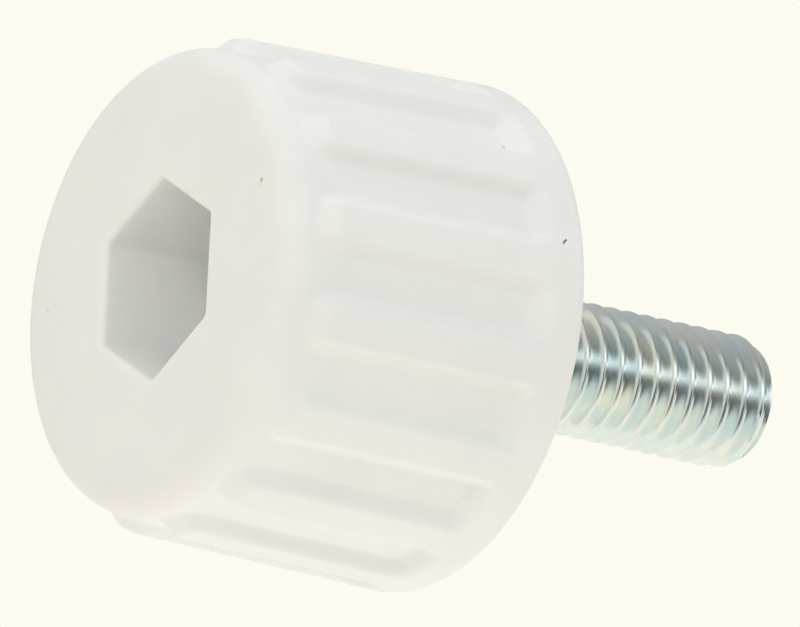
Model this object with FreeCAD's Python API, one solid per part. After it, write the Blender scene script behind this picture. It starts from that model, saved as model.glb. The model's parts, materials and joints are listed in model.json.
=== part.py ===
import FreeCAD, Part
import math
import os

# Adjustable cabinet leg: a screw-in levelling foot.
# A plastic foot is moulded round the hexagon head of a steel screw. The thread turns in a nut in the
# cabinet, and the foot is turned by its ribs or by a key in the hexagonal socket underneath.
# Millimetres, +Z up along the screw, origin at the centre of the underside.

# Foot, outside
foot_height = 20.0
band_diameter = 29.9
side_draft = 1.2
rim_radius = 1.6
band_edge_radius = 0.8
band_height = 2.3

# Grip ribs, with grooves between them that run out at the band
rib_count = 15
rib_width = 3.0
rib_relief = 0.85
rib_start = 1.9
rib_ramp = 0.9
rib_corner_radius = 0.9
first_rib_turn = 90.0
groove_end_radius = 1.7

# Key socket in the underside
key_size = 10.0
key_clearance = 0.4
socket_lead_in = 0.15
socket_floor = 1.9

# Screw, with a shank under its thread that stays at the size of the blank
thread_diameter = 7.9
thread_length = 21.2
shank_diameter = 7.2
tip_chamfer_width = 0.55
tip_chamfer_length = 0.9
head_across_flats = 13.0
head_height = 5.3
head_cover = 3.8
hole_chamfer = 0.5

UP = FreeCAD.Vector(0, 0, 1)
ORIGIN = FreeCAD.Vector(0, 0, 0)
draft = math.radians(side_draft)
head_base = foot_height - head_cover - head_height
socket_depth = head_base - socket_floor


def crest_radius(z):
    """Radius of the band and of the ribs' crests at a height."""
    return band_diameter / 2 - (foot_height - z) * math.tan(draft)


def root_radius(z):
    """Radius of the side between the ribs at a height."""
    return crest_radius(z) - rib_relief


def section_point(radius, z):
    return FreeCAD.Vector(radius, 0, z)


def turned(edges):
    """Solid turned about the screw's axis from a closed half section."""
    return Part.Face(Part.Wire(edges)).revolve(ORIGIN, UP, 360)


def lines(points):
    return [Part.LineSegment(a, b).toShape() for a, b in zip(points, points[1:])]


def hexagon(across_flats, z):
    """Hexagon with flats square to X."""
    corner_radius = across_flats / math.sqrt(3)
    corners = []
    for number in range(7):
        turn = math.radians(30 + 60 * number)
        corners.append(FreeCAD.Vector(corner_radius * math.cos(turn), corner_radius * math.sin(turn), z))
    return Part.makePolygon(corners)


def circles_at(shape, z):
    """Edges that lie whole at one height."""
    return [e for e in shape.Edges if max(abs(e.BoundBox.ZMin - z), abs(e.BoundBox.ZMax - z)) < 1e-6]


def foot_core():
    """The foot without its ribs: underside, side at the depth of the grooves, and band.

    The band's upper edge is rounded off in two bevels, which keeps its facets few.
    """
    across = FreeCAD.Vector(math.cos(draft), 0, -math.sin(draft))
    along = FreeCAD.Vector(math.sin(draft), 0, math.cos(draft))
    depth = rib_relief * math.cos(draft)
    sweep = math.acos(1 - depth / groove_end_radius)
    band_z = foot_height - band_height
    run_out_end = section_point(crest_radius(band_z), band_z)
    run_out_start = run_out_end - along * (groove_end_radius * math.sin(sweep)) - across * depth
    centre = run_out_start + across * groove_end_radius
    half_way = centre - across * (groove_end_radius * math.cos(sweep / 2))
    half_way = half_way + along * (groove_end_radius * math.sin(sweep / 2))
    below = lines([ORIGIN, section_point(root_radius(0), 0), run_out_start])
    run_out = [Part.Arc(run_out_start, half_way, run_out_end).toShape()]
    edge_z = foot_height - band_edge_radius
    edge_inset = band_edge_radius * (1 - math.sqrt(0.5))
    top_radius = crest_radius(foot_height)
    above = lines([run_out_end, section_point(crest_radius(edge_z), edge_z),
                   section_point(top_radius - edge_inset, foot_height - edge_inset),
                   section_point(top_radius - band_edge_radius, foot_height),
                   section_point(0, foot_height), ORIGIN])
    core = turned(below + run_out + above)
    return core.makeFillet(rim_radius, circles_at(core, 0))


def rib():
    """One grip rib on +X: a strip with a rounded free end, trimmed to the crest cone and its ramp.

    The trimming solid is turned half round, so that its seam stays clear of the rib.
    """
    top = foot_height - band_height
    inside = root_radius(0) - 2 * rib_relief
    half = rib_width / 2
    corner = rib_corner_radius
    diagonal = corner * (1 - math.sqrt(0.5))

    def at(y, z):
        return FreeCAD.Vector(inside, y, z)

    corner_z = rib_start + corner
    outline = lines([at(half, corner_z), at(half, top), at(-half, top), at(-half, corner_z)])
    outline.append(Part.Arc(at(-half, corner_z), at(-half + diagonal, rib_start + diagonal),
                            at(-half + corner, rib_start)).toShape())
    outline += lines([at(-half + corner, rib_start), at(half - corner, rib_start)])
    outline.append(Part.Arc(at(half - corner, rib_start), at(half - diagonal, rib_start + diagonal),
                            at(half, corner_z)).toShape())
    strip = Part.Face(Part.Wire(outline)).extrude(FreeCAD.Vector(band_diameter, 0, 0))
    ramp_end = rib_start + rib_ramp
    trim = turned(lines([section_point(0, 0), section_point(root_radius(rib_start), 0),
                         section_point(root_radius(rib_start), rib_start),
                         section_point(crest_radius(ramp_end), ramp_end),
                         section_point(crest_radius(foot_height), foot_height),
                         section_point(0, foot_height), section_point(0, 0)]))
    trim.rotate(ORIGIN, UP, 180)
    return strip.common(trim)


def stud():
    """Screw with its hexagon head below, a shank held in the plastic, and a thread that runs out on it."""
    head = Part.Face(hexagon(head_across_flats, head_base)).extrude(UP * head_height)
    thread_radius = thread_diameter / 2
    shank_radius = shank_diameter / 2
    thread_run_out = thread_radius - shank_radius
    tip_z = foot_height + thread_length
    rod = turned(lines([section_point(0, head_base), section_point(shank_radius, head_base),
                        section_point(shank_radius, foot_height),
                        section_point(thread_radius, foot_height + thread_run_out),
                        section_point(thread_radius, tip_z - tip_chamfer_length),
                        section_point(thread_radius - tip_chamfer_width, tip_z),
                        section_point(0, tip_z), section_point(0, head_base)]))
    return head.fuse(rod).removeSplitter()


def key_socket():
    socket_size = key_size + key_clearance
    straight = Part.Face(hexagon(socket_size, 0)).extrude(UP * socket_depth)
    mouth = hexagon(socket_size + 2 * socket_lead_in, 0)
    flare = Part.makeLoft([mouth, hexagon(socket_size, socket_lead_in)], True, True)
    return straight.fuse(flare)


def hole_mouth():
    """Chamfer in the foot's top face, clear of the thread that runs out there."""
    shank_radius = shank_diameter / 2
    return Part.makeCone(shank_radius, shank_radius + hole_chamfer, hole_chamfer,
                         section_point(0, foot_height - hole_chamfer))


threaded_stud = stud()
ribs = []
first = rib()
for number in range(rib_count):
    turn = FreeCAD.Rotation(UP, first_rib_turn + 360 * number / rib_count)
    ribs.append(first.transformed(FreeCAD.Placement(ORIGIN, turn).toMatrix()))
foot_body = foot_core().fuse(ribs).removeSplitter()
foot_body = foot_body.cut([key_socket(), threaded_stud, hole_mouth()])

os.makedirs("parts", exist_ok=True)
for name, shape in (("foot_body", foot_body), ("threaded_stud", threaded_stud)):
    print(name, "valid", shape.isValid(), "solids", len(shape.Solids), "volume", round(shape.Volume, 2))
    shape.Solids[0].exportStep("parts/" + name + ".step")
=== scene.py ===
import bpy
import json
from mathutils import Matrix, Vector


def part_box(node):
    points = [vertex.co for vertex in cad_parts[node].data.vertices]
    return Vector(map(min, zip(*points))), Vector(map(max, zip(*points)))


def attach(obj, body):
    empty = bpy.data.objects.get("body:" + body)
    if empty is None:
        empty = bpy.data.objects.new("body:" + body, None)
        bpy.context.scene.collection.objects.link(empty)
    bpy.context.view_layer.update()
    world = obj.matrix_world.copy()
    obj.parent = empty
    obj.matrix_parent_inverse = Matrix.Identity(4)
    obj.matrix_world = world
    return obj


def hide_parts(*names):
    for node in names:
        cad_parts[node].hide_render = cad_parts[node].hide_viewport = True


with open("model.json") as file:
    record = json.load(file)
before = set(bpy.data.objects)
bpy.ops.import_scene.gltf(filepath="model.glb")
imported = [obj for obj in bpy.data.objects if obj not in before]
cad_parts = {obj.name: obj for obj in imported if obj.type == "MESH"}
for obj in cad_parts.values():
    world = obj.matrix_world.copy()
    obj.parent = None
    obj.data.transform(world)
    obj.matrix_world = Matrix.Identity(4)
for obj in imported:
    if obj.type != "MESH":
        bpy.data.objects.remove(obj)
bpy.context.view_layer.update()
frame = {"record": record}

import json
import math

import bmesh
import bpy
import numpy as np
from mathutils import Matrix, Vector

scene = bpy.context.scene
scene.view_settings.view_transform = "Standard"
mm = 0.001

# Screw
# A cold-headed steel screw with a rolled right-hand thread, plated with bright zinc.
# Its hexagon head is buried in the plastic foot, which was moulded round it.
stud_low, stud_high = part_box("threaded_stud")
stud_mount = next(m for m in frame["record"]["mounts"] if m["name"] == "stud")
thread_radius = stud_mount["dims"]["r_mm"] * mm
thread_pitch = 1.25 * mm
thread_depth = 0.74 * mm
crest_flat = 0.08
root_flat = 0.14
crest_turn = math.radians(228)
crest_height = 28.95 * mm
tip_chamfer_width = 0.55 * mm
tip_chamfer_length = 0.9 * mm
shank_radius = 3.6 * mm
head_across_flats = 13.0 * mm
head_height = 5.3 * mm
straight_flank_share = 0.8
tip_face_ring = 0.9
tip_dish_ring = 0.45
tip_dish = 0.03 * mm
thread_columns = 144
rows_per_turn = 18
screw_sharp_angle = math.radians(38)


def thread_relief(phase):
    """Depth below the crest, from 0 to 1, at a place along the pitch where 0 is the crest."""
    from_root = abs((phase % 1.0) - 0.5) * 2
    straight = (from_root - root_flat) / (1 - root_flat - crest_flat)
    straight = min(max(straight, 0.0), 1.0)
    rounded = 0.5 - 0.5 * math.cos(math.pi * straight)
    return 1 - (straight_flank_share * straight + (1 - straight_flank_share) * rounded)


def hexagon_radius(turn, apothem, corner_radius):
    """Distance from the axis to a hexagon with rounded corners, flats square to X."""
    from_corner = (turn - math.pi / 6) % (math.pi / 3)
    from_corner = min(from_corner, math.pi / 3 - from_corner)
    centre = (apothem - corner_radius) / math.cos(math.pi / 6)
    arc_reach = math.atan2(corner_radius * 0.5, centre + corner_radius * math.cos(math.pi / 6))
    if corner_radius > 0 and from_corner < arc_reach:
        across = centre * math.sin(from_corner)
        return centre * math.cos(from_corner) + math.sqrt(corner_radius ** 2 - across ** 2)
    return apothem / math.cos(math.pi / 6 - from_corner)


def finished_piece(name, bm, sharp_angle):
    """Object from a bmesh, with outward normals, smooth faces and edges sharp above an angle."""
    bmesh.ops.recalc_face_normals(bm, faces=bm.faces)
    mesh = bpy.data.meshes.new(name)
    bm.to_mesh(mesh)
    bm.free()
    mesh.shade_smooth()
    mesh.set_sharp_from_angle(angle=sharp_angle)
    piece = bpy.data.objects.new(name, mesh)
    scene.collection.objects.link(piece)
    return piece


def thread_mesh():
    """Rows follow the helix, so each crest and root is one clean line of edges."""
    bm = bmesh.new()
    start = stud_low.z + head_height
    run_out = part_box("foot_body")[1].z
    tip = stud_high.z
    phase_height = crest_height - thread_pitch * crest_turn / (2 * math.pi)
    turns_below = math.ceil((phase_height - start) / thread_pitch) + 1
    first = phase_height - turns_below * thread_pitch
    row_count = math.ceil((tip - first) / thread_pitch * rows_per_turn) + 1
    grid = []
    for row in range(row_count + rows_per_turn + 1):
        ring = []
        relief = thread_depth * thread_relief(row / rows_per_turn)
        for column in range(thread_columns):
            share = column / thread_columns
            z = first + thread_pitch * (row / rows_per_turn + share)
            z = min(max(z, start), tip)
            formed = min(max((z - run_out) / thread_pitch, 0.0), 1.0)
            depth = relief * formed + (thread_radius - shank_radius) * (1 - formed)
            chamfered = tip_chamfer_width * max(0.0, 1 - (tip - z) / tip_chamfer_length)
            radius = thread_radius - max(depth, chamfered)
            if z >= tip:
                radius = thread_radius - tip_chamfer_width
            turn = 2 * math.pi * share
            ring.append(bm.verts.new((radius * math.cos(turn), radius * math.sin(turn), z)))
        grid.append(ring)
    for row in range(row_count):
        for column in range(thread_columns):
            if column + 1 < thread_columns:
                corners = (grid[row][column], grid[row][column + 1],
                           grid[row + 1][column + 1], grid[row + 1][column])
            else:
                corners = (grid[row][column], grid[row + rows_per_turn][0],
                           grid[row + rows_per_turn + 1][0], grid[row + 1][column])
            bm.faces.new(corners)
    loose = [v for v in bm.verts if not v.link_faces]
    bmesh.ops.delete(bm, geom=loose, context="VERTS")
    bmesh.ops.remove_doubles(bm, verts=bm.verts, dist=1e-7)
    bmesh.ops.dissolve_degenerate(bm, edges=bm.edges, dist=1e-7)
    return bm, start, tip


def open_ring(bm, z):
    """Edges of the open end at a height."""
    return [e for e in bm.edges if e.is_boundary and all(abs(v.co.z - z) < 1e-6 for v in e.verts)]


def ring_moved(bm, edges, place):
    """Extrudes an open ring and puts each new point where place says. Returns the new ring."""
    made = bmesh.ops.extrude_edge_only(bm, edges=edges)["geom"]
    for v in made:
        if isinstance(v, bmesh.types.BMVert):
            v.co = place(v.co)
    return [e for e in made if isinstance(e, bmesh.types.BMEdge) and e.is_boundary]


def head_edge(co, z):
    turn = math.atan2(co.y, co.x)
    radius = hexagon_radius(turn, head_across_flats / 2, 0.0)
    return Vector((radius * math.cos(turn), radius * math.sin(turn), z))


def tip_place(co, share, z):
    return Vector((co.x * share, co.y * share, z))


stud_bm, stud_start, stud_tip = thread_mesh()
ring = open_ring(stud_bm, stud_tip)
ring = ring_moved(stud_bm, ring, lambda co: tip_place(co, tip_face_ring, stud_tip))
ring = ring_moved(stud_bm, ring, lambda co: tip_place(co, tip_dish_ring, stud_tip - tip_dish))
bmesh.ops.holes_fill(stud_bm, edges=ring, sides=0)
ring = open_ring(stud_bm, stud_start)
ring = ring_moved(stud_bm, ring, lambda co: head_edge(co, stud_start))
ring = ring_moved(stud_bm, ring, lambda co: head_edge(co, stud_low.z))
bmesh.ops.holes_fill(stud_bm, edges=ring, sides=0)
threaded_screw = finished_piece("threaded_screw", stud_bm, screw_sharp_angle)


def zinc_plate():
    """Bright zinc with a thin passivated film: cool and warm tints in soft patches, fine grain."""
    material = bpy.data.materials.new("zinc_plate")
    material.use_nodes = True
    nodes = material.node_tree.nodes
    links = material.node_tree.links
    shader = nodes["Principled BSDF"]
    shader.inputs["Metallic"].default_value = 1.0
    place = nodes.new("ShaderNodeTexCoord")
    tint = nodes.new("ShaderNodeTexNoise")
    tint.inputs["Scale"].default_value = 420
    tint.inputs["Detail"].default_value = 3
    links.new(place.outputs["Object"], tint.inputs["Vector"])
    film = nodes.new("ShaderNodeValToRGB")
    film.color_ramp.elements[0].position = 0.36
    film.color_ramp.elements[0].color = (0.74, 0.84, 0.85, 1)
    film.color_ramp.elements[1].position = 0.64
    film.color_ramp.elements[1].color = (0.87, 0.90, 0.83, 1)
    links.new(tint.outputs["Fac"], film.inputs["Fac"])
    links.new(film.outputs["Color"], shader.inputs["Base Color"])
    grain = nodes.new("ShaderNodeTexNoise")
    grain.inputs["Scale"].default_value = 5200
    grain.inputs["Detail"].default_value = 4
    links.new(place.outputs["Object"], grain.inputs["Vector"])
    roughness = nodes.new("ShaderNodeMapRange")
    roughness.inputs["To Min"].default_value = 0.15
    roughness.inputs["To Max"].default_value = 0.27
    links.new(grain.outputs["Fac"], roughness.inputs["Value"])
    links.new(roughness.outputs["Result"], shader.inputs["Roughness"])
    bump = nodes.new("ShaderNodeBump")
    bump.inputs["Strength"].default_value = 0.15
    bump.inputs["Distance"].default_value = 0.01 * mm
    links.new(grain.outputs["Fac"], bump.inputs["Height"])
    links.new(bump.outputs["Normal"], shader.inputs["Normal"])
    return material


threaded_screw.data.materials.append(zinc_plate())
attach(threaded_screw, "root")
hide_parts("threaded_stud")

# Foot
# One injection moulding in white plastic, closed round the screw's head. Fifteen soft-edged grip
# ribs stand on its tapered side and run up into a plain band, and a hexagonal socket for a key
# is moulded into the flat underside. The band has a small nick from use.
foot_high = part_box("foot_body")[1]
foot_height = foot_high.z
band_radius = foot_high.x
side_slope = math.tan(math.radians(1.2))
rim_radius = 1.6 * mm
band_edge_radius = 0.8 * mm
rib_count = 15
rib_pitch = 2 * math.pi / rib_count
first_rib_turn = math.radians(90)
rib_half_width = 1.5 * mm
rib_relief = 0.85 * mm
rib_end = 2.45 * mm
rib_end_stretch = 1.3
rib_corner_radius = 0.9 * mm
rib_wall = 0.58 * mm
run_out_start = 16.3 * mm
run_out_end = 17.8 * mm
socket_apothem = 5.2 * mm
socket_corner_radius = 0.25 * mm
socket_mouth_radius = 0.4 * mm
socket_depth = 9.0 * mm
hole_chamfer = 0.5 * mm
nick_turn = math.radians(-131.9)
nick_height = 18.4 * mm
nick_slant = math.radians(138)
nick_half_length = 0.22 * mm
nick_half_width = 0.07 * mm
nick_depth = 0.16 * mm
ridge_half_length = 0.3 * mm
ridge_half_width = 0.12 * mm
ridge_offset = 0.2 * mm
ridge_height = 0.04 * mm
foot_sharp_angle = math.radians(35)


def crest_radius(z):
    return band_radius - (foot_height - z) * side_slope


def soft_step(value):
    value = np.clip(value, 0, 1)
    return value * value * (3 - 2 * value)


def rib_height(turns, z):
    """How far the side stands out at a height, from 0 in a groove to 1 on a rib or the band."""
    from_rib = ((turns - first_rib_turn) / rib_pitch + 0.5) % 1.0 - 0.5
    across = np.abs(from_rib) * rib_pitch * crest_radius(z) - (rib_half_width - rib_corner_radius)
    below = (rib_end - z) / rib_end_stretch + rib_corner_radius
    outside = np.hypot(np.maximum(across, 0), max(below, 0)) + np.minimum(np.maximum(across, below), 0)
    rib = soft_step((rib_wall + rib_corner_radius - outside) / (2 * rib_wall))
    band = soft_step((z - run_out_start) / (run_out_end - run_out_start))
    return 1 - (1 - rib) * (1 - band)


def nick(turns, z):
    """Depth of the short slanting nick in the band, with the plastic pushed up beside it."""
    across = ((turns - nick_turn + math.pi) % (2 * math.pi) - math.pi) * band_radius
    up = z - nick_height
    along = across * math.cos(nick_slant) + up * math.sin(nick_slant)
    aside = up * math.cos(nick_slant) - across * math.sin(nick_slant)
    dent = np.exp(-(along / nick_half_length) ** 2 - (aside / nick_half_width) ** 2)
    beside = (aside + ridge_offset) / ridge_half_width
    ridge = np.exp(-(along / ridge_half_length) ** 2 - beside ** 2)
    return nick_depth * dent - ridge_height * ridge


def foot_columns():
    """Turns of the mesh's columns, in degrees from each rib's middle: close together over its walls."""
    crest = [0.0, 1.3, 2.4, 3.2]
    wall = [3.6 + 0.22 * step for step in range(22)]
    groove = [8.9, 9.9, 10.9]
    half = crest + wall + groove
    local = sorted(set([-d for d in half] + half + [12.0]))
    turns = [first_rib_turn + rib * rib_pitch + math.radians(d) for rib in range(rib_count) for d in local]
    return np.array(sorted(t % (2 * math.pi) for t in turns))


def foot_mesh():
    """One grid of rows, from the socket's floor over the outside to the seat of the screw's head."""
    turns = foot_columns()

    def hexagon(apothem, corner_radius):
        return np.array([hexagon_radius(t, apothem, corner_radius) for t in turns])

    rows = []

    def add(radius, z):
        rows.append((np.broadcast_to(radius, turns.shape), np.broadcast_to(z, turns.shape)))

    wall = hexagon(socket_apothem, socket_corner_radius)
    floor_rings = (0.3, 0.65, 0.9)
    for share in floor_rings:
        add(wall * share, socket_depth)
    wall_heights = (9.0, 8.6, 7.0, 5.0, 3.0, 1.5, 0.7)
    for z in wall_heights:
        add(wall, z * mm)
    mouth_steps = 6
    for step in range(mouth_steps + 1):
        turn = math.pi / 2 * step / mouth_steps
        spread = socket_mouth_radius * (1 - math.cos(turn))
        add(hexagon(socket_apothem + spread, socket_corner_radius + spread),
            socket_mouth_radius * (1 - math.sin(turn)))
    mouth = hexagon(socket_apothem + socket_mouth_radius, socket_corner_radius + socket_mouth_radius)
    rim_centre = crest_radius(0) - rib_relief - rim_radius * (1 - side_slope)
    underside_rings = (0.1, 0.3, 0.55, 0.8, 1.0)
    for share in underside_rings:
        add(mouth + (rim_centre - mouth) * share, 0.0)
    rim_steps = 12
    for step in range(1, rim_steps + 1):
        turn = (math.pi / 2 - math.atan(side_slope)) * step / rim_steps
        add(rim_centre + rim_radius * math.sin(turn), rim_radius * (1 - math.cos(turn)))
    rib_end_heights = [1.68 + 0.1 * step for step in range(18)]
    rib_heights = [3.5, 4.5, 6, 8, 10, 12, 13.5, 14.8, 15.6, 16.1]
    run_out_heights = [16.3 + 0.12 * step for step in range(14)]
    nick_heights = [17.98 + 0.07 * step for step in range(13)]
    band_heights = [18.95, 19.1]
    for z in rib_end_heights + rib_heights + run_out_heights + nick_heights + band_heights:
        z = z * mm
        side = crest_radius(z) - rib_relief * (1 - rib_height(turns, z))
        add(side - nick(turns, z), z)
    edge_z = foot_height - band_edge_radius
    edge_steps = 10
    for step in range(edge_steps + 1):
        turn = math.atan(side_slope) + (math.pi / 2 - math.atan(side_slope)) * step / edge_steps
        z = edge_z + band_edge_radius * math.sin(turn)
        add(crest_radius(edge_z) - band_edge_radius * (1 - math.cos(turn)) - nick(turns, z), z)
    top_rings = (13.0, 10.0, 7.0, 5.0)
    for radius in top_rings:
        add(radius * mm, foot_height)
    add(shank_radius + hole_chamfer, foot_height)
    add(shank_radius, foot_height - hole_chamfer)
    add(shank_radius, stud_low.z + head_height)
    head = hexagon(head_across_flats / 2, 0.0)
    add(head, stud_low.z + head_height)
    add(head, stud_low.z)

    bm = bmesh.new()
    grid = []
    for radius, z in rows:
        points = np.stack([radius * np.cos(turns), radius * np.sin(turns), z], 1)
        grid.append([bm.verts.new(point) for point in points])
    floor_centre = bm.verts.new((0, 0, socket_depth))
    head_centre = bm.verts.new((0, 0, stud_low.z))
    count = len(turns)
    for column in range(count):
        after = (column + 1) % count
        for lower, upper in zip(grid, grid[1:]):
            bm.faces.new((lower[column], upper[column], upper[after], lower[after]))
        bm.faces.new((floor_centre, grid[0][column], grid[0][after]))
        bm.faces.new((head_centre, grid[-1][after], grid[-1][column]))
    return bm


moulded_foot = finished_piece("moulded_foot", foot_mesh(), foot_sharp_angle)


def on_face(radius, turn_deg, z):
    turn = math.radians(turn_deg)
    return (radius * math.cos(turn), radius * math.sin(turn), z)


# Small marks in the plastic's own colour; the three nick marks are painted shade, dark colour laid into
# the nick's dent where shade falls.
specks_and_nick_shade = (
    ("rim_smear", on_face(11.05 * mm, -140.2, 0.0), 0.20 * mm, (0.79, 0.79, 0.745, 1)),
    ("rim_speck", on_face(11.20 * mm, -141.05, 0.0), 0.15 * mm, (0.46, 0.45, 0.39, 1)),
    ("nick_shade_upper", on_face(14.82 * mm, -132.25, 18.50 * mm), 0.09 * mm, (0.24, 0.23, 0.21, 1)),
    ("nick_shade_lower", on_face(14.84 * mm, -131.35, 18.29 * mm), 0.11 * mm, (0.30, 0.29, 0.27, 1)),
    ("nick_shade_middle", on_face(14.77 * mm, -131.9, 18.40 * mm), 0.12 * mm, (0.18, 0.17, 0.155, 1)),
    ("side_dot", on_face(14.02 * mm, -159.54, 16.35 * mm), 0.12 * mm, (0.62, 0.61, 0.58, 1)),
    ("face_dot", on_face(10.82 * mm, 59.65, 0.0), 0.13 * mm, (0.73, 0.72, 0.68, 1)),
)


def white_plastic():
    """Slightly translucent white moulding plastic: faint mottling, fine mould grain, a few small dark
    marks, and painted shade in the nick.
    """
    material = bpy.data.materials.new("white_plastic")
    material.use_nodes = True
    nodes = material.node_tree.nodes
    links = material.node_tree.links
    shader = nodes["Principled BSDF"]
    shader.subsurface_method = "BURLEY"
    shader.inputs["Subsurface Weight"].default_value = 0.3
    shader.inputs["Subsurface Radius"].default_value = (1.0, 1.0, 1.0)
    shader.inputs["Subsurface Scale"].default_value = 0.9 * mm
    shader.inputs["Specular IOR Level"].default_value = 0.4
    place = nodes.new("ShaderNodeTexCoord")
    mottle = nodes.new("ShaderNodeTexNoise")
    mottle.inputs["Scale"].default_value = 160
    mottle.inputs["Detail"].default_value = 4
    links.new(place.outputs["Object"], mottle.inputs["Vector"])
    shade = nodes.new("ShaderNodeValToRGB")
    shade.color_ramp.elements[0].position = 0.3
    shade.color_ramp.elements[0].color = (0.835, 0.845, 0.842, 1)
    shade.color_ramp.elements[1].position = 0.7
    shade.color_ramp.elements[1].color = (0.865, 0.875, 0.872, 1)
    links.new(mottle.outputs["Fac"], shade.inputs["Fac"])
    colour = shade.outputs["Color"]
    ragged = nodes.new("ShaderNodeTexNoise")
    ragged.inputs["Scale"].default_value = 7000
    links.new(place.outputs["Object"], ragged.inputs["Vector"])
    # Each mark is mixed into the base colour; for the three nick marks this paints the nick's shade into
    # the plastic.
    for name, centre, size, dirt_and_shade in specks_and_nick_shade:
        distance = nodes.new("ShaderNodeVectorMath")
        distance.operation = "DISTANCE"
        distance.inputs[1].default_value = centre
        links.new(place.outputs["Object"], distance.inputs[0])
        edge = nodes.new("ShaderNodeMath")
        edge.operation = "MULTIPLY_ADD"
        edge.inputs[1].default_value = 0.5 * size
        links.new(ragged.outputs["Fac"], edge.inputs[0])
        links.new(distance.outputs["Value"], edge.inputs[2])
        cover = nodes.new("ShaderNodeMapRange")
        cover.inputs["From Min"].default_value = 1.35 * size
        cover.inputs["From Max"].default_value = 0.75 * size
        links.new(edge.outputs["Value"], cover.inputs["Value"])
        mix = nodes.new("ShaderNodeMix")
        mix.data_type = "RGBA"
        mix.label = name
        mix.inputs["B"].default_value = dirt_and_shade
        links.new(cover.outputs["Result"], mix.inputs["Factor"])
        links.new(colour, mix.inputs["A"])
        colour = mix.outputs["Result"]
    links.new(colour, shader.inputs["Base Color"])
    grain = nodes.new("ShaderNodeTexNoise")
    grain.inputs["Scale"].default_value = 2600
    grain.inputs["Detail"].default_value = 5
    links.new(place.outputs["Object"], grain.inputs["Vector"])
    roughness = nodes.new("ShaderNodeMapRange")
    roughness.inputs["To Min"].default_value = 0.42
    roughness.inputs["To Max"].default_value = 0.56
    links.new(grain.outputs["Fac"], roughness.inputs["Value"])
    links.new(roughness.outputs["Result"], shader.inputs["Roughness"])
    bump = nodes.new("ShaderNodeBump")
    bump.inputs["Strength"].default_value = 0.2
    bump.inputs["Distance"].default_value = 0.012 * mm
    links.new(grain.outputs["Fac"], bump.inputs["Height"])
    links.new(bump.outputs["Normal"], shader.inputs["Normal"])
    return material


moulded_foot.data.materials.append(white_plastic())
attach(moulded_foot, "root")
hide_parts("foot_body")

# Camera
# The view looks up at the underside and along the screw, and is rolled so that the screw points
# to the right of the picture. The long lens stands far off, so the shape hardly converges.
view_azimuth = math.radians(-103.549)
view_elevation = math.radians(-33.166)
view_roll = math.radians(102.16)
view_distance = 1.6041
view_focal_pixels = 28000
picture_width_pixels = 800
aim_point = Vector((-2.82, -7.36, 11.84)) * mm
to_camera = Vector((math.cos(view_elevation) * math.cos(view_azimuth),
                    math.cos(view_elevation) * math.sin(view_azimuth), math.sin(view_elevation)))
level_right = (-to_camera).cross(Vector((0, 0, 1))).normalized()
level_up = level_right.cross(-to_camera)
picture_right = level_right * math.cos(view_roll) + level_up * math.sin(view_roll)
picture_up = level_up * math.cos(view_roll) - level_right * math.sin(view_roll)
camera_data = bpy.data.cameras.new("camera")
camera_data.sensor_width = 36.0
camera_data.lens = camera_data.sensor_width * view_focal_pixels / picture_width_pixels
camera_data.clip_start = 0.01
camera_data.clip_end = 50.0
camera = bpy.data.objects.new("camera", camera_data)
turned = Matrix((picture_right, picture_up, to_camera)).transposed().to_4x4()
camera.matrix_world = Matrix.Translation(aim_point + to_camera * view_distance) @ turned
scene.collection.objects.link(camera)
scene.camera = camera

# Floor
# A plain pale floor under the foot, which fades into the backdrop. It is one-sided, so the view from
# below passes through it, and it takes the foot's shadow without keeping light from the underside.
floor_size = 0.44
floor_gap = 0.02 * mm
floor_fade_start = 50 * mm
floor_fade_end = 200 * mm
floor_bm = bmesh.new()
bmesh.ops.create_grid(floor_bm, x_segments=1, y_segments=1, size=floor_size / 2)
floor_mesh = bpy.data.meshes.new("floor")
floor_bm.to_mesh(floor_mesh)
floor_bm.free()
floor = bpy.data.objects.new("floor", floor_mesh)
floor.location.z = -floor_gap
scene.collection.objects.link(floor)
floor_paint = bpy.data.materials.new("floor_paint")
floor_paint.use_nodes = True
floor_nodes = floor_paint.node_tree.nodes
floor_links = floor_paint.node_tree.links
floor_nodes.clear()
floor_side = floor_nodes.new("ShaderNodeNewGeometry")
floor_diffuse = floor_nodes.new("ShaderNodeBsdfDiffuse")
floor_diffuse.inputs["Color"].default_value = (0.90, 0.88, 0.82, 1)
floor_clear = floor_nodes.new("ShaderNodeBsdfTransparent")
floor_place = floor_nodes.new("ShaderNodeTexCoord")
floor_reach = floor_nodes.new("ShaderNodeVectorMath")
floor_reach.operation = "LENGTH"
floor_fade = floor_nodes.new("ShaderNodeMapRange")
floor_fade.interpolation_type = "SMOOTHSTEP"
floor_fade.inputs["From Min"].default_value = floor_fade_start
floor_fade.inputs["From Max"].default_value = floor_fade_end
floor_gone = floor_nodes.new("ShaderNodeMath")
floor_gone.operation = "MAXIMUM"
floor_mix = floor_nodes.new("ShaderNodeMixShader")
floor_out = floor_nodes.new("ShaderNodeOutputMaterial")
floor_links.new(floor_place.outputs["Object"], floor_reach.inputs[0])
floor_links.new(floor_reach.outputs["Value"], floor_fade.inputs["Value"])
floor_links.new(floor_fade.outputs["Result"], floor_gone.inputs[0])
floor_links.new(floor_side.outputs["Backfacing"], floor_gone.inputs[1])
floor_links.new(floor_gone.outputs["Value"], floor_mix.inputs["Fac"])
floor_links.new(floor_diffuse.outputs["BSDF"], floor_mix.inputs[1])
floor_links.new(floor_clear.outputs["BSDF"], floor_mix.inputs[2])
floor_links.new(floor_mix.outputs["Shader"], floor_out.inputs["Surface"])
floor_mesh.materials.append(floor_paint)
floor.visible_diffuse = False
floor.visible_glossy = False
floor.visible_transmission = False
floor.visible_shadow = False

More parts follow.
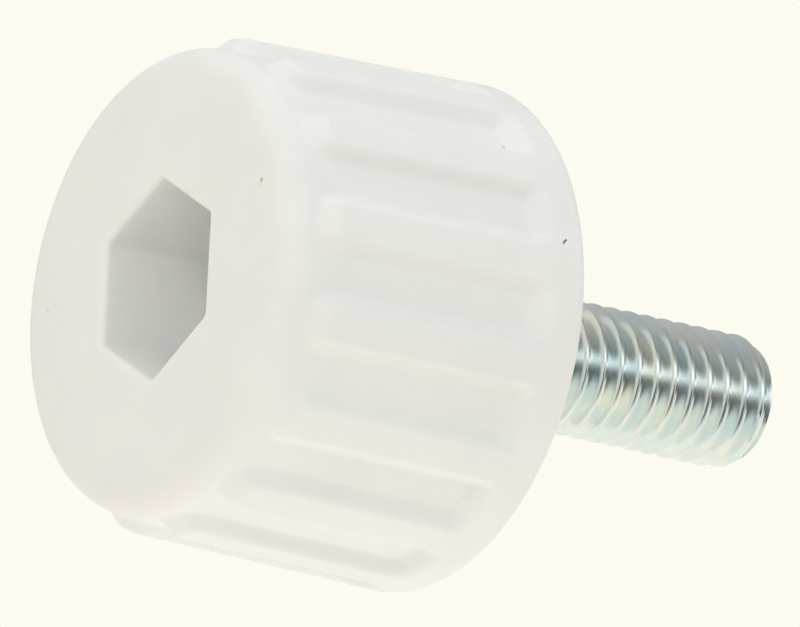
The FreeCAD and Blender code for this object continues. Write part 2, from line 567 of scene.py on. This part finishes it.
# Light
# A pale tent, brightest on the picture's lower side and dimmer where it opens to the camera, with
# weak soft lamps at the underside and over the top face. A graded card that only reflections show
# gives the metal its dark side and its row of highlights.
tent_shades = ((-1.0, 1.38), (-0.7, 1.08), (-0.45, 0.90), (-0.2, 0.80), (0.1, 0.73), (0.35, 0.70),
               (0.6, 0.81), (1.0, 1.22))
tent_tint_below = (1.05, 1.0, 0.885)
tent_tint_above = (0.975, 1.01, 0.985)
underside_tint = (1.03, 0.945, 0.895, 1)
opening_tint = (0.72, 0.73, 0.75, 1)
backdrop = (0.982, 0.965, 0.873, 1)
world = bpy.data.worlds.new("tent")
scene.world = world
world.use_nodes = True
tent_nodes = world.node_tree.nodes
tent_links = world.node_tree.links
tent_nodes.clear()
tent_place = tent_nodes.new("ShaderNodeTexCoord")
tent_dot = tent_nodes.new("ShaderNodeVectorMath")
tent_dot.operation = "DOT_PRODUCT"
tent_dot.inputs[1].default_value = picture_up
tent_share = tent_nodes.new("ShaderNodeMapRange")
tent_share.inputs["From Min"].default_value = -1.0
tent_ramp = tent_nodes.new("ShaderNodeValToRGB")
for lift, shade in tent_shades[1:-1]:
    tent_ramp.color_ramp.elements.new((lift + 1) / 2)
for element, (lift, shade) in zip(tent_ramp.color_ramp.elements, tent_shades):
    tint = Vector(tent_tint_below).lerp(Vector(tent_tint_above), (lift + 1) / 2) * shade
    element.color = (*tint, 1)
underside_dot = tent_nodes.new("ShaderNodeVectorMath")
underside_dot.operation = "DOT_PRODUCT"
underside_dot.inputs[1].default_value = (0, 0, -1)
underside_mix = tent_nodes.new("ShaderNodeMix")
underside_mix.data_type = "RGBA"
underside_mix.blend_type = "MULTIPLY"
underside_mix.inputs["B"].default_value = underside_tint
opening_dot = tent_nodes.new("ShaderNodeVectorMath")
opening_dot.operation = "DOT_PRODUCT"
opening_dot.inputs[1].default_value = to_camera
opening_ahead = tent_nodes.new("ShaderNodeMath")
opening_ahead.operation = "MAXIMUM"
opening_ahead.inputs[1].default_value = 0.0
opening_share = tent_nodes.new("ShaderNodeMath")
opening_share.operation = "POWER"
opening_share.inputs[1].default_value = 2.0
opening_mix = tent_nodes.new("ShaderNodeMix")
opening_mix.data_type = "RGBA"
opening_mix.blend_type = "MULTIPLY"
opening_mix.inputs["B"].default_value = opening_tint
seen = tent_nodes.new("ShaderNodeLightPath")
seen_glossy = tent_nodes.new("ShaderNodeMath")
seen_glossy.operation = "MAXIMUM"
seen_any = tent_nodes.new("ShaderNodeMath")
seen_any.operation = "MAXIMUM"
backdrop_mix = tent_nodes.new("ShaderNodeMix")
backdrop_mix.data_type = "RGBA"
backdrop_mix.inputs["B"].default_value = backdrop
tent_light = tent_nodes.new("ShaderNodeBackground")
tent_out = tent_nodes.new("ShaderNodeOutputWorld")
tent_links.new(tent_place.outputs["Generated"], tent_dot.inputs[0])
tent_links.new(tent_dot.outputs["Value"], tent_share.inputs["Value"])
tent_links.new(tent_share.outputs["Result"], tent_ramp.inputs["Fac"])
tent_links.new(tent_ramp.outputs["Color"], underside_mix.inputs["A"])
tent_links.new(tent_place.outputs["Generated"], underside_dot.inputs[0])
tent_links.new(underside_dot.outputs["Value"], underside_mix.inputs["Factor"])
tent_links.new(underside_mix.outputs["Result"], opening_mix.inputs["A"])
tent_links.new(tent_place.outputs["Generated"], opening_dot.inputs[0])
tent_links.new(opening_dot.outputs["Value"], opening_ahead.inputs[0])
tent_links.new(opening_ahead.outputs["Value"], opening_share.inputs[0])
tent_links.new(opening_share.outputs["Value"], opening_mix.inputs["Factor"])
tent_links.new(seen.outputs["Is Camera Ray"], seen_glossy.inputs[0])
tent_links.new(seen.outputs["Is Glossy Ray"], seen_glossy.inputs[1])
tent_links.new(seen_glossy.outputs["Value"], seen_any.inputs[0])
tent_links.new(seen.outputs["Is Transmission Ray"], seen_any.inputs[1])
tent_links.new(seen_any.outputs["Value"], backdrop_mix.inputs["Factor"])
tent_links.new(opening_mix.outputs["Result"], backdrop_mix.inputs["A"])
tent_links.new(backdrop_mix.outputs["Result"], tent_light.inputs["Color"])
tent_links.new(tent_light.outputs["Background"], tent_out.inputs["Surface"])


def soft_lamp(name, direction, distance, size, watts):
    lamp = bpy.data.lights.new(name, "AREA")
    lamp.shape = "DISK"
    lamp.size = size
    lamp.energy = watts
    holder = bpy.data.objects.new(name, lamp)
    holder.location = aim_point + direction.normalized() * distance
    holder.rotation_euler = direction.to_track_quat("Z", "Y").to_euler()
    holder.visible_camera = False
    holder.visible_glossy = False
    scene.collection.objects.link(holder)


lamp_turn = math.radians(-140)
lamp_direction = Vector((math.cos(lamp_turn), math.sin(lamp_turn), -1.0))
soft_lamp("underside_lamp", lamp_direction, distance=0.45, size=0.20, watts=0.40)
soft_lamp("top_lamp", Vector((0.3, -0.2, 1.0)), distance=0.45, size=0.30, watts=0.04)

card_radius = 0.6
card_shades = ((-46, 0.85), (-36, 0.42), (-27, 0.11), (-6, 0.10), (6, 0.42), (20, 1.45), (29, 1.35),
               (42, 0.38), (53, 0.18), (70, 0.36), (100, 0.46), (180, 0.58))
card_lowest = math.radians(card_shades[0][0])
card_columns = 24
card_rows = 10
card_bm = bmesh.new()
card_grid = []
for row in range(card_rows + 1):
    lift = card_lowest + (math.pi - card_lowest) * row / card_rows
    line = []
    for column in range(card_columns + 1):
        swing = math.pi * (column / card_columns - 0.5)
        around = to_camera * math.cos(lift) + picture_up * math.sin(lift)
        facing = around * math.cos(swing) + picture_right * math.sin(swing)
        line.append(card_bm.verts.new(card_radius * facing))
    card_grid.append(line)
for lower, upper in zip(card_grid, card_grid[1:]):
    for column in range(card_columns):
        card_bm.faces.new((lower[column], lower[column + 1], upper[column + 1], upper[column]))
card_mesh = bpy.data.meshes.new("graded_card")
card_bm.to_mesh(card_mesh)
card_bm.free()
card = bpy.data.objects.new("graded_card", card_mesh)
scene.collection.objects.link(card)
card_paint = bpy.data.materials.new("graded_card")
card_paint.use_nodes = True
card_nodes = card_paint.node_tree.nodes
card_links = card_paint.node_tree.links
card_nodes.clear()
card_place = card_nodes.new("ShaderNodeTexCoord")
card_up = card_nodes.new("ShaderNodeVectorMath")
card_up.operation = "DOT_PRODUCT"
card_up.inputs[1].default_value = picture_up
card_front = card_nodes.new("ShaderNodeVectorMath")
card_front.operation = "DOT_PRODUCT"
card_front.inputs[1].default_value = to_camera
card_lift = card_nodes.new("ShaderNodeMath")
card_lift.operation = "ARCTAN2"
card_share = card_nodes.new("ShaderNodeMapRange")
card_share.inputs["From Min"].default_value = card_lowest
card_share.inputs["From Max"].default_value = math.radians(card_shades[-1][0])
card_ramp = card_nodes.new("ShaderNodeValToRGB")
card_span = card_shades[-1][0] - card_shades[0][0]
for lift, shade in card_shades[1:-1]:
    card_ramp.color_ramp.elements.new((lift - card_shades[0][0]) / card_span)
for element, (lift, shade) in zip(card_ramp.color_ramp.elements, card_shades):
    element.color = (shade, shade, shade, 1)
card_glow = card_nodes.new("ShaderNodeEmission")
card_out = card_nodes.new("ShaderNodeOutputMaterial")
card_links.new(card_place.outputs["Object"], card_up.inputs[0])
card_links.new(card_place.outputs["Object"], card_front.inputs[0])
card_links.new(card_up.outputs["Value"], card_lift.inputs[0])
card_links.new(card_front.outputs["Value"], card_lift.inputs[1])
card_links.new(card_lift.outputs["Value"], card_share.inputs["Value"])
card_links.new(card_share.outputs["Result"], card_ramp.inputs["Fac"])
card_links.new(card_ramp.outputs["Color"], card_glow.inputs["Color"])
card_links.new(card_glow.outputs["Emission"], card_out.inputs["Surface"])
card_mesh.materials.append(card_paint)
card.visible_camera = False
card.visible_diffuse = False
card.visible_transmission = False
card.visible_shadow = False
